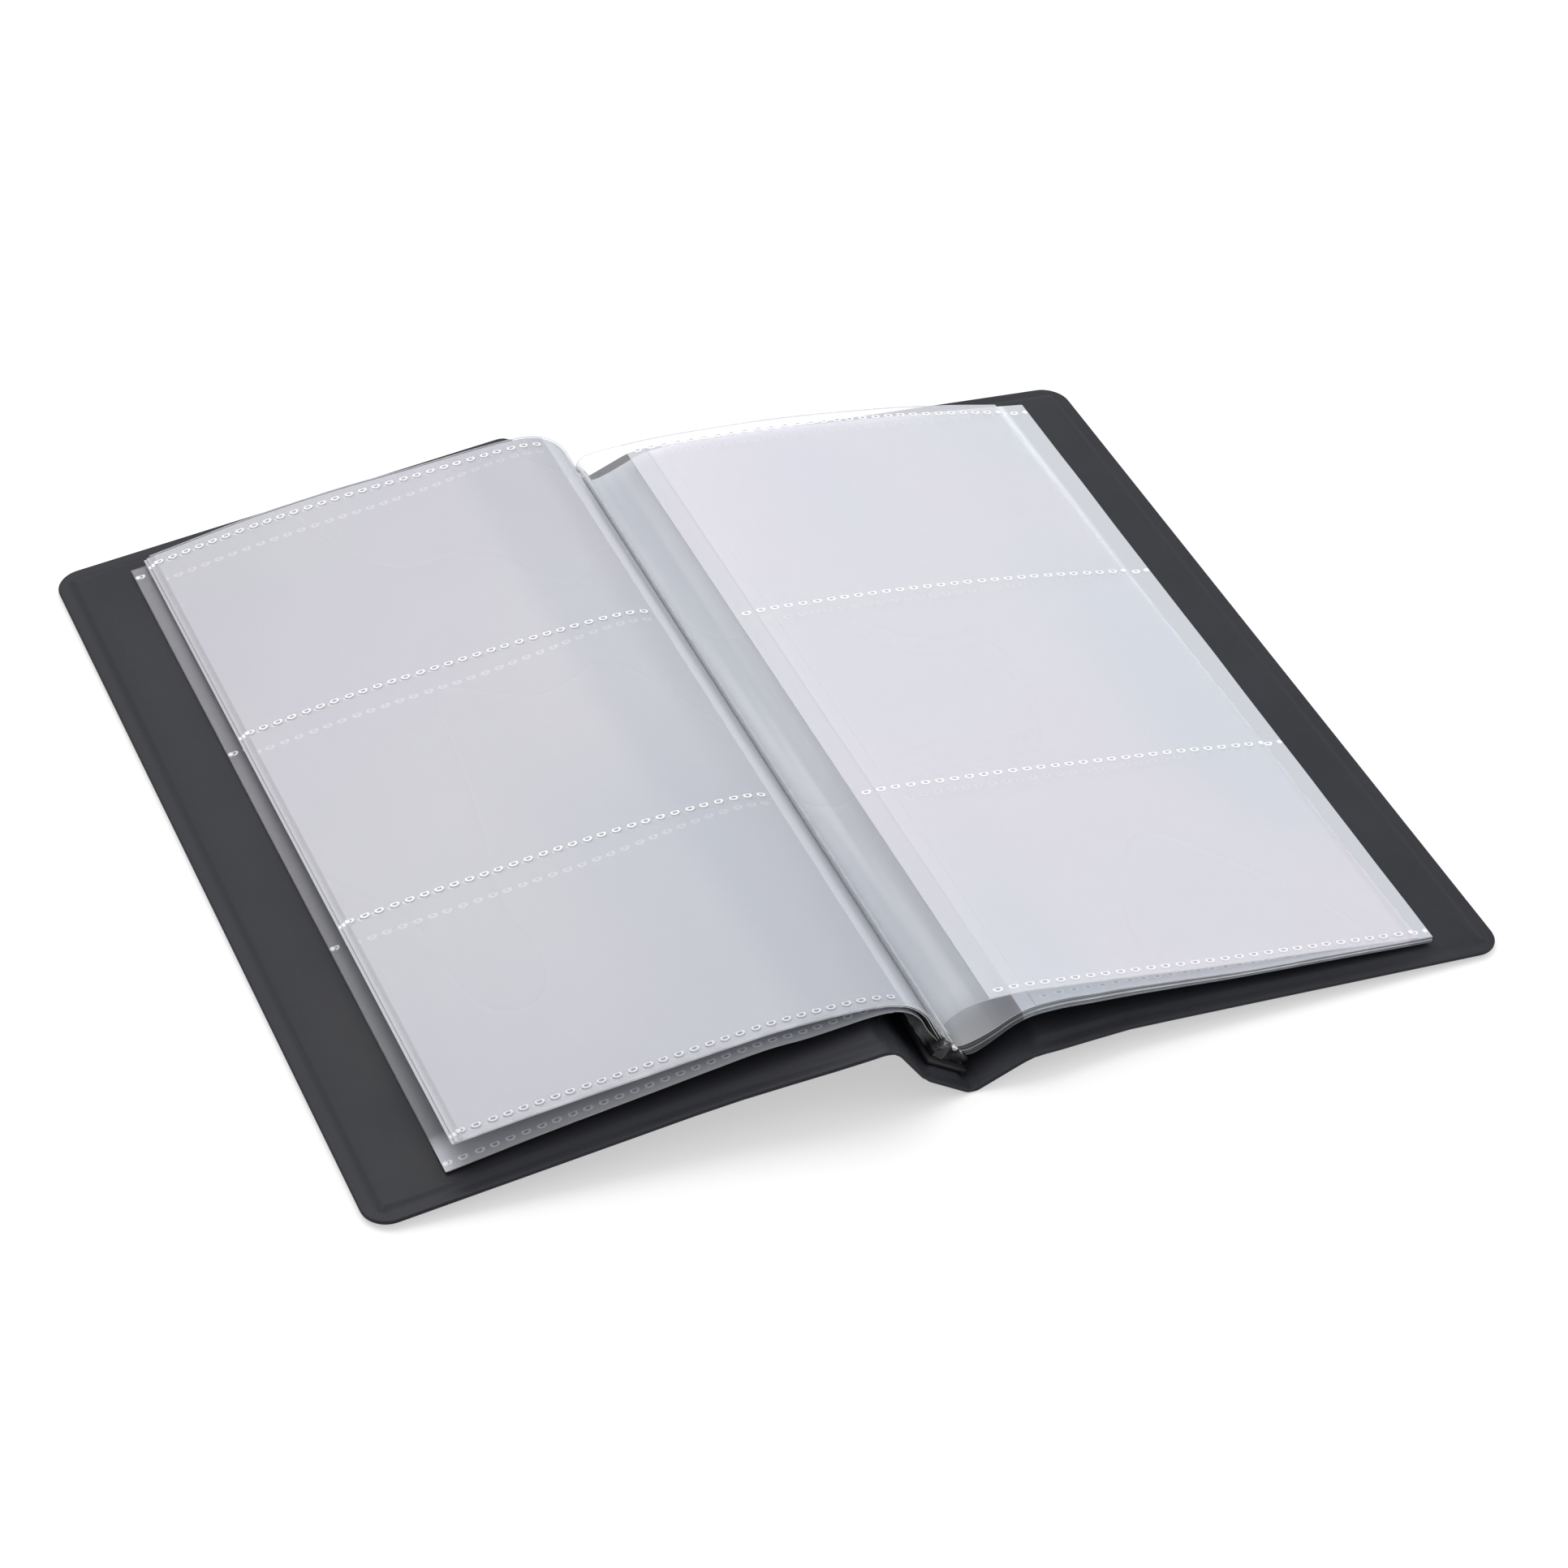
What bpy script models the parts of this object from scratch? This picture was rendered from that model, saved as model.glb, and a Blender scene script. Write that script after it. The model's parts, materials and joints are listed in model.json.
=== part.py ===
"""Card album: a soft welded cover on three boards, with ten clear card leaves on its spine.

X runs across the open album, Y along its spine and Z up. It lies open on a table at Z = 0.
Angles are measured in the X-Z plane, from +X towards +Z.
"""

import math

import bmesh
import bpy
from mathutils import Matrix, Vector

MM = 0.001

# Cover
COVER_HEIGHT = 200.0 * MM  # along the spine
PANEL_WIDTH = 103.4 * MM  # from a panel's crease to its outer edge
HINGE_WIDTH = 12.5 * MM  # soft zone between the two creases of a side
SPINE_WIDTH = 12.4 * MM  # from crease to crease
CORNER_RADIUS = 5.5 * MM
SKIN_THICK = 0.35 * MM
LINING_THICK = 0.35 * MM
BOARD_THICK = 0.9 * MM
RIM_WIDTH = 2.6 * MM  # welded rim round a panel's board
SPINE_RIM_WIDTH = 2.0 * MM
CREASE_GAP = 0.7 * MM  # between the two webs that meet at a crease
WEB_THICK = 0.3 * MM  # a crease is pressed down to this
CREASE_RUN = 1.0 * MM  # over which a panel thins down to its web
SHEET_SETBACK = 0.5 * MM  # from a crease line to the end of a hinge zone's sheets

# How the album lies open
SPINE_TILT = math.radians(35.5)  # the spine leans down to the right
LEFT_HINGE_RISE = math.radians(52.0)
RIGHT_HINGE_RISE = math.radians(26.0)

# Binding
STRIP_SIDE = 1.3 * MM  # from each crease of the spine to the strip
STRIP_INSET = 3.0 * MM  # from the cover's front and back edges to the strip's ends
STRIP_THICK = 0.8 * MM
WELD_INSET = 1.0 * MM  # from the strip's ends to the weld block's
ROOT_HEIGHT = 3.4 * MM  # lowest leaf's fold line, above the middle of the spine's thickness

# Leaves
LEFT_LEAVES = 4
RIGHT_LEAVES = 6
FILM_THICK = 0.2 * MM
FILM_GAP = 0.22 * MM
LEAF_INSET = 6.25 * MM  # from the cover's front and back edges to a centred leaf's
POCKET_WIDTH = 85.0 * MM
MARGIN_EXTRA = 6.5 * MM  # a leaf's margin, from its weld to its pockets, beyond the hinge zone's width
FOLD_GAP = 0.7 * MM  # between the two films that meet at a fold line
RIGHT_ROOT_EXTRA = 3.0 * MM  # lowest right leaf's root, from weld to crest, beyond the hinge zone's width
RIGHT_LEAF_SHIFT = -2.0 * MM  # along the spine
LOW_LEAF_SHIFT = -1.2 * MM
LEFT_LEAF_SHIFT = 2.0 * MM

# Clearances
LAYER_GAP = 0.15 * MM  # between layers that lie face to face
REST_GAP = 0.3 * MM  # between the left leaves and the cover that they rest on
RIGHT_REST_GAP = 1.0 * MM  # at the right leaves' outer edge, which sinks as the hinge zone folds
BOARD_GAP = 0.3 * MM  # round a board's edge

CORNER_STEPS = 6

COVER_THICK = SKIN_THICK + BOARD_THICK + LINING_THICK + 2 * LAYER_GAP
HINGE_THICK = SKIN_THICK + LAYER_GAP + LINING_THICK
HALF_COVER = COVER_THICK / 2
HALF_HINGE = HINGE_THICK / 2
POCKET_OFFSET = FILM_THICK + FILM_GAP
LEAF_PITCH = 2 * POCKET_OFFSET
LEAF_HEIGHT = COVER_HEIGHT - 2 * LEAF_INSET
LEAF_WIDTH = HINGE_WIDTH + MARGIN_EXTRA + POCKET_WIDTH
RIGHT_ROOT_LENGTH = HINGE_WIDTH + RIGHT_ROOT_EXTRA
STRIP_LENGTH = COVER_HEIGHT - 2 * STRIP_INSET
WELD_LENGTH = STRIP_LENGTH - 2 * WELD_INSET

LEFT = -1
RIGHT = 1


def polar(angle, length):
    return Vector((math.cos(angle), math.sin(angle))) * length


def across(angle, side):
    """Unit vector from a piece that runs out at this angle towards the album's inside."""
    return polar(angle + side * math.pi / 2, 1.0)


def meet(point, angle, other, other_angle):
    """Where the line through point at angle crosses the other line."""
    run = polar(angle, 1.0)
    other_run = polar(other_angle, 1.0)
    gap = other - point
    cross = run.x * other_run.y - run.y * other_run.x
    return point + run * ((gap.x * other_run.y - gap.y * other_run.x) / cross)


def resting_slope(crest_height):
    """Slope of a panel whose crease is this high and whose outer lower edge is on the table."""
    reach = math.hypot(PANEL_WIDTH, HALF_COVER)
    return math.asin(crest_height / reach) - math.atan2(HALF_COVER, PANEL_WIDTH)


def cover_lines():
    """Crease lines of the open cover as points in X-Z, and the angle each zone runs out at."""
    angle = {"spine": -SPINE_TILT, "left_hinge": math.pi - LEFT_HINGE_RISE, "right_hinge": RIGHT_HINGE_RISE}
    low = HALF_HINGE * math.cos(RIGHT_HINGE_RISE) - SHEET_SETBACK * math.sin(RIGHT_HINGE_RISE)
    point = {"right_hinge": Vector((0.0, low))}
    point["left_hinge"] = point["right_hinge"] - polar(angle["spine"], SPINE_WIDTH)
    point["left_panel"] = point["left_hinge"] + polar(angle["left_hinge"], HINGE_WIDTH)
    point["right_panel"] = point["right_hinge"] + polar(angle["right_hinge"], HINGE_WIDTH)
    angle["left_panel"] = math.pi + resting_slope(point["left_panel"].y)
    angle["right_panel"] = -resting_slope(point["right_panel"].y)
    ends = 0.0
    for zone, side in (("left_panel", LEFT), ("right_panel", RIGHT)):
        corner = polar(angle[zone], PANEL_WIDTH) + across(angle[zone], side) * HALF_COVER
        ends += point[zone].x + corner.x
    middle = Vector((ends / 2, 0.0))
    for zone in point:
        point[zone] = point[zone] - middle
    point["spine"] = point["left_hinge"].copy()
    return point, angle


def leaf_lines(point, angle):
    """Weld fold and crest fold of each leaf, lowest first on each side, and the angles they run out at."""
    closed = math.pi / 2 - SPINE_TILT
    along = polar(angle["spine"], 1.0)
    up = polar(closed, 1.0)
    count = LEFT_LEAVES + RIGHT_LEAVES
    first = SPINE_WIDTH / 2 - (count - 1) * LEAF_PITCH / 2 + POCKET_OFFSET / 2
    leaves = []
    for side, number in ((LEFT, LEFT_LEAVES), (RIGHT, RIGHT_LEAVES)):
        name = "left" if side == LEFT else "right"
        hinge = angle[name + "_hinge"]
        rise = LEAF_PITCH * math.tan(abs(hinge - closed) / 2)
        top = ROOT_HEIGHT + (LEFT_LEAVES - 1) * LEAF_PITCH * math.tan((angle["left_hinge"] - closed) / 2)
        low = ROOT_HEIGHT if side == LEFT else top - (number - 1) * rise
        panel = angle[name + "_panel"]
        for index in range(number):
            place = index if side == LEFT else count - 1 - index
            spot = (first + place * LEAF_PITCH, low + index * rise)
            weld = point["spine"] + along * spot[0] + up * spot[1]
            if index == 0:
                if side == LEFT:
                    clear = HALF_COVER + REST_GAP + POCKET_OFFSET + FILM_THICK / 2
                    base = point["left_panel"] + across(panel, side) * clear
                    slope = panel
                else:
                    base = weld + polar(hinge, RIGHT_ROOT_LENGTH)
                    lift = (base - point["right_panel"]).dot(across(panel, side))
                    drop = lift - HALF_COVER - RIGHT_REST_GAP - FILM_THICK / 2
                    slope = panel - math.asin(drop / (LEAF_WIDTH - RIGHT_ROOT_LENGTH))
            line = base + across(slope, side) * LEAF_PITCH * index
            crest = meet(weld, hinge, line, slope)
            leaves.append({
                "side": side,
                "name": "leaf_%s_%d" % (name, number - index),
                "spot": spot,
                "weld": weld,
                "crest": crest,
                "root_angle": hinge,
                "angle": slope,
                "root": (crest - weld).length,
            })
    return leaves


def clear_scene():
    for old in list(bpy.data.objects):
        bpy.data.objects.remove(old, do_unlink=True)


def collection(name):
    made = bpy.data.collections.new(name)
    bpy.context.scene.collection.children.link(made)
    return made


def material(name, colour, roughness, alpha=1.0):
    made = bpy.data.materials.new(name)
    made.use_nodes = True
    shader = made.node_tree.nodes["Principled BSDF"]
    shader.inputs["Base Color"].default_value = (*colour, 1.0)
    shader.inputs["Roughness"].default_value = roughness
    shader.inputs["Metallic"].default_value = 0.0
    shader.inputs["Alpha"].default_value = alpha
    return made


def pivot(name, where, angle, side, parent=None):
    """An empty on a fold line, with local X along the piece and local Z to the album's inside."""
    out = polar(angle, 1.0)
    inside = across(angle, side)
    turn = Matrix((
        (out.x, 0.0, inside.x, where.x),
        (0.0, side, 0.0, 0.0),
        (out.y, 0.0, inside.y, where.y),
        (0.0, 0.0, 0.0, 1.0),
    ))
    empty = bpy.data.objects.new(name, None)
    empty.empty_display_size = 5 * MM
    PARTS.objects.link(empty)
    if parent:
        empty.parent = parent
        empty.matrix_parent_inverse = FRAMES[parent.name].inverted()
    empty.matrix_basis = turn
    FRAMES[name] = turn
    return empty


def place(name, mesh, look, parent, group):
    piece = bpy.data.objects.new(name, mesh)
    group.objects.link(piece)
    piece.parent = parent
    if look:
        mesh.materials.append(look)
    return piece


def block_mesh(name, out, wide, thick):
    """A box from three (low, high) pairs: outwards, along the spine and through the thickness."""
    sides = (out, wide, thick)
    size = Matrix.Diagonal([high - low for low, high in sides]).to_4x4()
    middle = Matrix.Translation([(low + high) / 2 for low, high in sides])
    box = bmesh.new()
    bmesh.ops.create_cube(box, size=1.0, matrix=middle @ size)
    mesh = bpy.data.meshes.new(name)
    box.to_mesh(mesh)
    box.free()
    return mesh


def outline_mesh(name, points, depth, turn):
    """A flat outline filled and given a depth, centred on its plane, then turned into place."""
    curve = bpy.data.curves.new(name + "_outline", "CURVE")
    curve.dimensions = "2D"
    curve.fill_mode = "BOTH"
    curve.extrude = depth / 2
    spline = curve.splines.new("POLY")
    spline.points.add(len(points) - 1)
    for corner, spot in zip(spline.points, points):
        corner.co = (spot[0], spot[1], 0.0, 1.0)
    spline.use_cyclic_u = True
    guide = bpy.data.objects.new(name + "_guide", curve)
    bpy.context.scene.collection.objects.link(guide)
    ready = guide.evaluated_get(bpy.context.evaluated_depsgraph_get())
    mesh = bpy.data.meshes.new_from_object(ready)
    mesh.name = name
    bpy.data.objects.remove(guide, do_unlink=True)
    solid = bmesh.new()
    solid.from_mesh(mesh)
    bmesh.ops.remove_doubles(solid, verts=solid.verts, dist=0.001 * MM)
    bmesh.ops.transform(solid, matrix=turn, verts=solid.verts)
    bmesh.ops.recalc_face_normals(solid, faces=solid.faces)
    solid.to_mesh(mesh)
    solid.free()
    return mesh


def upright():
    """Turns an outline drawn as (outwards, thickness) so that its depth runs along the spine."""
    return Matrix.Rotation(math.pi / 2, 4, "X")


def raised(height):
    return Matrix.Translation((0.0, 0.0, height))


def cut(piece, tool, operation="DIFFERENCE"):
    tool.hide_render = True
    tool.display_type = "WIRE"
    step = piece.modifiers.new(tool.name, "BOOLEAN")
    step.operation = operation
    step.solver = "EXACT"
    step.object = tool


def plan_outline(near, far, half, radius):
    """A panel seen from above: square at its crease, round at its two outer corners."""
    points = [(near, -half)]
    for centre_y, start in ((-half + radius, -math.pi / 2), (half - radius, 0.0)):
        for step in range(CORNER_STEPS + 1):
            turn = start + math.pi / 2 * step / CORNER_STEPS
            points.append((far - radius + radius * math.cos(turn), centre_y + radius * math.sin(turn)))
    points.append((near, half))
    return points


def crease_profile(far, both_ends):
    """Section of a cover skin: a solid slab that thins to a web at a crease."""
    near = CREASE_GAP / 2
    run = near + CREASE_RUN
    top = HALF_COVER - LINING_THICK - LAYER_GAP
    web = WEB_THICK / 2
    points = [(near, web), (near, -web), (run, -HALF_COVER)]
    if both_ends:
        points += [(far - run, -HALF_COVER), (far - near, -web), (far - near, web), (far - run, top)]
    else:
        points += [(far, -HALF_COVER), (far, top)]
    points.append((run, top))
    return points


def board_span(far, rim, both_ends):
    near = CREASE_GAP / 2 + rim
    return near, far - near if both_ends else far - rim


def boarded_zone(name, parent, far, rim, both_ends, looks):
    """A zone with a board in it: outer skin with a hollow for the board, the board and the lining."""
    half = COVER_HEIGHT / 2
    near = CREASE_GAP / 2 + CREASE_RUN
    low, high = board_span(far, rim, both_ends)
    floor = -HALF_COVER + SKIN_THICK
    section = crease_profile(far, both_ends)
    skin = place(name + "_skin", outline_mesh(name + "_skin", section, COVER_HEIGHT, upright()),
                 looks["skin"], parent, PARTS)
    hollow = block_mesh(name + "_hollow", (low, high), (rim - half, half - rim), (floor, COVER_THICK))
    cut(skin, place(name + "_hollow", hollow, None, parent, CUTTERS))
    if not both_ends:
        plan = plan_outline(-far, far, half, CORNER_RADIUS)
        shape = outline_mesh(name + "_plan", plan, 4 * COVER_THICK, Matrix.Identity(4))
        cut(skin, place(name + "_plan", shape, None, parent, CUTTERS), "INTERSECT")
    board = block_mesh(name + "_board", (low + BOARD_GAP, high - BOARD_GAP),
                       (rim + BOARD_GAP - half, half - rim - BOARD_GAP),
                       (floor + LAYER_GAP, floor + LAYER_GAP + BOARD_THICK))
    place(name + "_board", board, looks["board"], parent, PARTS)
    middle = HALF_COVER - LINING_THICK / 2
    if both_ends:
        lining = block_mesh(name + "_lining", (near, far - near), (-half, half),
                            (HALF_COVER - LINING_THICK, HALF_COVER))
    else:
        plan = plan_outline(near, far, half, CORNER_RADIUS)
        lining = outline_mesh(name + "_lining", plan, LINING_THICK, raised(middle))
    place(name + "_lining", lining, looks["lining"], parent, PARTS)


def hinge_zone(name, parent, looks):
    """A soft zone with no board: the outer skin and the lining lie one on the other."""
    half = COVER_HEIGHT / 2
    out = (SHEET_SETBACK, HINGE_WIDTH - SHEET_SETBACK)
    skin = block_mesh(name + "_skin", out, (-half, half), (-HALF_HINGE, SKIN_THICK - HALF_HINGE))
    place(name + "_skin", skin, looks["skin"], parent, PARTS)
    lining = block_mesh(name + "_lining", out, (-half, half), (HALF_HINGE - LINING_THICK, HALF_HINGE))
    place(name + "_lining", lining, looks["lining"], parent, PARTS)


def binding(parent, leaves, looks):
    """The strip on the spine's floor and, on it, the block that the leaves' roots are welded into."""
    floor = HALF_COVER + LAYER_GAP
    strip = block_mesh("binding_strip", (STRIP_SIDE, SPINE_WIDTH - STRIP_SIDE),
                       (-STRIP_LENGTH / 2, STRIP_LENGTH / 2), (floor, floor + STRIP_THICK))
    place("binding_strip", strip, looks["strip"], parent, PARTS)
    base = floor + STRIP_THICK + LAYER_GAP
    spots = sorted(leaf["spot"] for leaf in leaves)
    half = LEAF_PITCH / 2
    points = [(spots[0][0] - half, base), (spots[-1][0] + half, base)]
    for across_spine, height in reversed(spots):
        top = height - FOLD_GAP / 2
        points += [(across_spine + half, top), (across_spine - half, top)]
    block = outline_mesh("leaf_weld_block", points, WELD_LENGTH, upright())
    place("leaf_weld_block", block, looks["weld"], parent, PARTS)


def leaf(entry, spine, shift, looks):
    """One leaf: its root film from the weld to the crest, and beyond it the base and pocket films."""
    side = entry["side"]
    name = entry["name"]
    near = FOLD_GAP / 2
    wide = (side * shift - LEAF_HEIGHT / 2, side * shift + LEAF_HEIGHT / 2)
    thick = (-FILM_THICK / 2, FILM_THICK / 2)
    root_pivot = pivot(name + "_weld_line", entry["weld"], entry["root_angle"], side, spine)
    root = block_mesh(name + "_root", (near, entry["root"] - near), wide, thick)
    place(name + "_root", root, looks["film"], root_pivot, PARTS)
    crest_pivot = pivot(name + "_crest_line", entry["crest"], entry["angle"], side, root_pivot)
    far = LEAF_WIDTH - entry["root"]
    base = block_mesh(name + "_base", (near, far), wide, thick)
    place(name + "_base", base, looks["film"], crest_pivot, PARTS)
    offset = side * POCKET_OFFSET
    pocket_thick = (offset - FILM_THICK / 2, offset + FILM_THICK / 2)
    pocket = block_mesh(name + "_pocket", (far - POCKET_WIDTH, far), wide, pocket_thick)
    place(name + "_pocket", pocket, looks["pocket"], crest_pivot, PARTS)


def build():
    point, angle = cover_lines()
    leaves = leaf_lines(point, angle)
    looks = {
        "skin": material("charcoal_soft_skin", (0.032, 0.033, 0.036), 0.42),
        "lining": material("charcoal_lining", (0.045, 0.046, 0.05), 0.5),
        "board": material("grey_board", (0.3, 0.29, 0.27), 0.9),
        "strip": material("black_strip", (0.012, 0.012, 0.013), 0.35),
        "weld": material("milky_weld", (0.72, 0.73, 0.74), 0.4),
        "film": material("frosted_film", (0.75, 0.77, 0.8), 0.3, 0.45),
        "pocket": material("clear_pocket_film", (0.8, 0.82, 0.86), 0.22, 0.35),
    }
    spine = pivot("spine_frame", point["spine"], angle["spine"], RIGHT)
    boarded_zone("spine", spine, SPINE_WIDTH, SPINE_RIM_WIDTH, True, looks)
    for name, side in (("left", LEFT), ("right", RIGHT)):
        hinge = pivot(name + "_inner_crease", point[name + "_hinge"], angle[name + "_hinge"], side, spine)
        hinge_zone(name + "_hinge", hinge, looks)
        panel = pivot(name + "_outer_crease", point[name + "_panel"], angle[name + "_panel"], side, hinge)
        boarded_zone(name + "_cover", panel, PANEL_WIDTH, RIM_WIDTH, False, looks)
    binding(spine, leaves, looks)
    for entry in leaves:
        shift = RIGHT_LEAF_SHIFT
        if entry["side"] == LEFT:
            shift = LOW_LEAF_SHIFT if entry["name"].endswith(str(LEFT_LEAVES)) else LEFT_LEAF_SHIFT
        leaf(entry, spine, shift, looks)


clear_scene()
FRAMES = {}
PARTS = collection("card_album")
CUTTERS = collection("cutters")
build()
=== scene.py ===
"""Card album lying open: a soft dark welded cover, a binding strip and ten frosted card leaves.

X runs across the open album, Y along its spine and Z up, all in metres.
"""

import json
import math
from bisect import bisect_right

import bmesh
import bpy
from mathutils import Matrix, Vector, noise


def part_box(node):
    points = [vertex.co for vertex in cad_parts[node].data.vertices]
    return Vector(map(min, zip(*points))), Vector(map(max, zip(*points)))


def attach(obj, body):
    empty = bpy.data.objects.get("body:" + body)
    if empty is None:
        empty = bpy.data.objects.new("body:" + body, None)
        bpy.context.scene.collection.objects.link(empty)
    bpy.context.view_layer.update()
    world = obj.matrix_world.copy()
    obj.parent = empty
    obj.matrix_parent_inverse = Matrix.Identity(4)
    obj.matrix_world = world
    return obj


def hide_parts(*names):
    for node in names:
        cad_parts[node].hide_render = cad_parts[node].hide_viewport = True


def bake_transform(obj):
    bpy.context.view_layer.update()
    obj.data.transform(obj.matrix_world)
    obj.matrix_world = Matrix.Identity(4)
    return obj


bl_info = {
    "name": "Card album",
    "version": (1, 0, 0),
    "blender": (4, 5, 0),
    "location": "View3D > Sidebar > Card album",
    "description": "Dresses the open card album: cover, binding and frosted leaves",
    "category": "Object",
}

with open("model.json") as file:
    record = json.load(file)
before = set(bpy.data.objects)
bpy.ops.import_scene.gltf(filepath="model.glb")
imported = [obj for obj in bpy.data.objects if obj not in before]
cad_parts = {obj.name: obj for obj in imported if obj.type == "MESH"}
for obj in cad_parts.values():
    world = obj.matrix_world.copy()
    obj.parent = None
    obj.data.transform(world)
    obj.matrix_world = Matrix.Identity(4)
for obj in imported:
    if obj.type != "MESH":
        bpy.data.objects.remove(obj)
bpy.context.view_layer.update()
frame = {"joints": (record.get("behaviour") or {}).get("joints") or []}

MM = 0.001
LEFT = -1
RIGHT = 1

# Points on a leaf's front line and on its back line across the album, X and Z in millimetres, from just
# after its weld to its outer edge: for the lower leaves of a side (True) and for its upper ones
LEAF_LINES = {
    (LEFT, True): (
        [(-6.4, 11.2), (-8.1, 14.4), (-10.8, 16.9), (-14.6, 18.2), (-19.0, 18.2), (-24.0, 17.6),
         (-31.6, 16.7), (-39.4, 16.2), (-59.1, 13.0), (-78.0, 9.6), (-100.9, 5.0)],
        [(-6.2, 11.2), (-7.9, 14.4), (-10.6, 17.0), (-14.3, 18.4), (-20.0, 18.3), (-30.0, 17.0),
         (-60.0, 12.1), (-80.0, 8.8), (-102.3, 4.8)]),
    (LEFT, False): (
        [(-4.6, 11.6), (-6.5, 14.9), (-9.6, 18.0), (-13.4, 19.8), (-17.4, 20.6), (-24.2, 20.9),
         (-32.1, 20.7), (-40.1, 20.2), (-59.0, 17.9), (-78.0, 15.3), (-99.9, 12.0)],
        [(-4.5, 11.6), (-6.2, 14.8), (-9.1, 17.8), (-13.2, 19.7), (-18.0, 20.1), (-42.0, 17.6),
         (-60.0, 15.2), (-78.0, 12.2), (-99.5, 7.2)]),
    (RIGHT, True): (
        [(3.0, 3.9), (5.2, 4.9), (7.8, 6.6), (10.6, 8.4), (14.0, 9.7), (20.0, 10.0), (28.0, 9.4),
         (60.0, 6.6), (101.9, 3.4)],
        [(3.0, 4.1), (5.2, 5.3), (8.0, 7.2), (11.5, 8.9), (17.0, 9.6), (32.0, 9.5), (57.0, 8.3),
         (80.0, 6.0), (103.0, 3.4)]),
    (RIGHT, False): (
        [(-3.1, 9.3), (-4.15, 11.3), (-3.7, 13.4), (-0.7, 15.5), (3.5, 16.5), (8.0, 16.6), (12.0, 16.4),
         (19.0, 15.5), (27.5, 14.3), (60.0, 9.9), (98.9, 5.0)],
        [(-3.0, 9.2), (-3.9, 11.1), (-2.9, 12.9), (1.0, 13.9), (6.5, 14.2), (13.0, 14.5), (31.8, 14.2),
         (51.1, 12.9), (75.0, 9.9), (96.4, 5.9)]),
}

# Where the leaves' roots and the cover's creases lie from their joints, X and Z in millimetres
ROOT_SHIFT = (-2.2, -0.9)
LEFT_ROOT_PITCH = 0.5 * MM
CREASE_SHIFTS = ((-1.5, -1.4), (-2.2, -1.0), (-2.3, -0.15), (-1.3, 0.1))
RIGHT_END_SHIFT = (-0.8, 0.0)

# Where the leaves' front edges lie along the spine, in millimetres
LEAF_STARTS = {(LEFT, True): -94.7, (LEFT, False): -94.3, (RIGHT, True): -96.0, (RIGHT, False): -95.9}

# Films and seams, along each leaf from its weld
ROOT_END = 8.0 * MM
TURN_START = 20.0 * MM
POCKET_START = {LEFT: 15.0 * MM, RIGHT: 15.8 * MM}
SEAM_MARGIN = 2.4 * MM

# Spans along a leaf from its weld, around its bends at the weld, over the crest and at the top leaf's turn
WELD_BEND = (0.6 * MM, 6 * MM)
CREST_BEND = {LEFT: (9.0 * MM, 18.6 * MM), RIGHT: (11.0 * MM, 18.8 * MM)}
TOP_WELD_BEND = (3.0 * MM, 7.8 * MM)
TOP_CREST_BEND = (13.0 * MM, 19.6 * MM)
TOP_TURN_BEND = (21.0 * MM, 27.5 * MM)

# Two corners of the strip and of the weld: across the spine, along it and up from its middle
STRIP_LOW, STRIP_HIGH = (1.3 * MM, -97 * MM, 1.12 * MM), (11.1 * MM, 97 * MM, 1.92 * MM)
WELD_LOW, WELD_HIGH = (2.1 * MM, -96 * MM, 2.0 * MM), (11.0 * MM, 96 * MM, 5.2 * MM)

# Cuts beside a crease, and rings of faces inside the cover's edge, in millimetres
CREASE_CUTS = (0.2, 0.4, 0.6, 0.85, 1.1, 1.4, 1.8, 2.2, 2.6, 3, 3.6, 4.6, 6)
RIM_RINGS = (0.08, 0.14, 0.2, 0.5, 0.8, 0.5, 0.4, 0.45, 0.5, 0.5)

# The camera, solved from the photograph
CAMERA_PLACE = (-0.30745, -0.62579, 0.57038)
CAMERA_RIGHT = Vector((0.91641093, -0.39375859, 0.07172988))
CAMERA_DOWN = Vector((-0.20126379, -0.60827498, -0.76778541))
CAMERA_AHEAD = Vector((0.34595359, 0.68917032, -0.63667919))
CAMERA_LENS = 102.48

WHITE = (1.0, 1.0, 1.0, 1.0)


def length_property(name, description, default):
    return bpy.props.FloatProperty(name=name, description=description, default=default, min=0.0,
                                   unit="LENGTH", precision=5)


def colour_property(name, description, default):
    return bpy.props.FloatVectorProperty(name=name, description=description, default=default, size=3,
                                         min=0.0, max=1.0, subtype="COLOR")


class CoverSizes(bpy.types.PropertyGroup):
    height: length_property("Height", "Along the spine", 0.2)
    panel: length_property("Panel width", "From a panel's crease to its outer edge", 0.1034)
    corner: length_property("Corner radius", "Of a panel's two outer corners", 0.0055)
    thick: length_property("Boarded thickness", "Of a zone that has a board in it", 0.0019)
    soft_thick: length_property("Soft thickness", "Of a hinge zone, which has no board", 0.00084)
    rim_thick: length_property("Rim thickness", "Of the welded rim", 0.00084)
    rim: length_property("Rim width", "From the edge to where the board starts to lift the sheets", 0.0024)
    rim_rise: length_property("Rim rise", "Over which the sheets rise from the rim to the board", 0.0022)
    sheet: length_property("Sheet thickness", "Of the outer skin and of the lining", 0.00038)
    crest_round: length_property("Crest rounding", "Half the length of the bend at an outer crease", 0.003)
    floor_round: length_property("Inner rounding", "Half the length of the bend at an inner crease", 0.0018)


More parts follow.
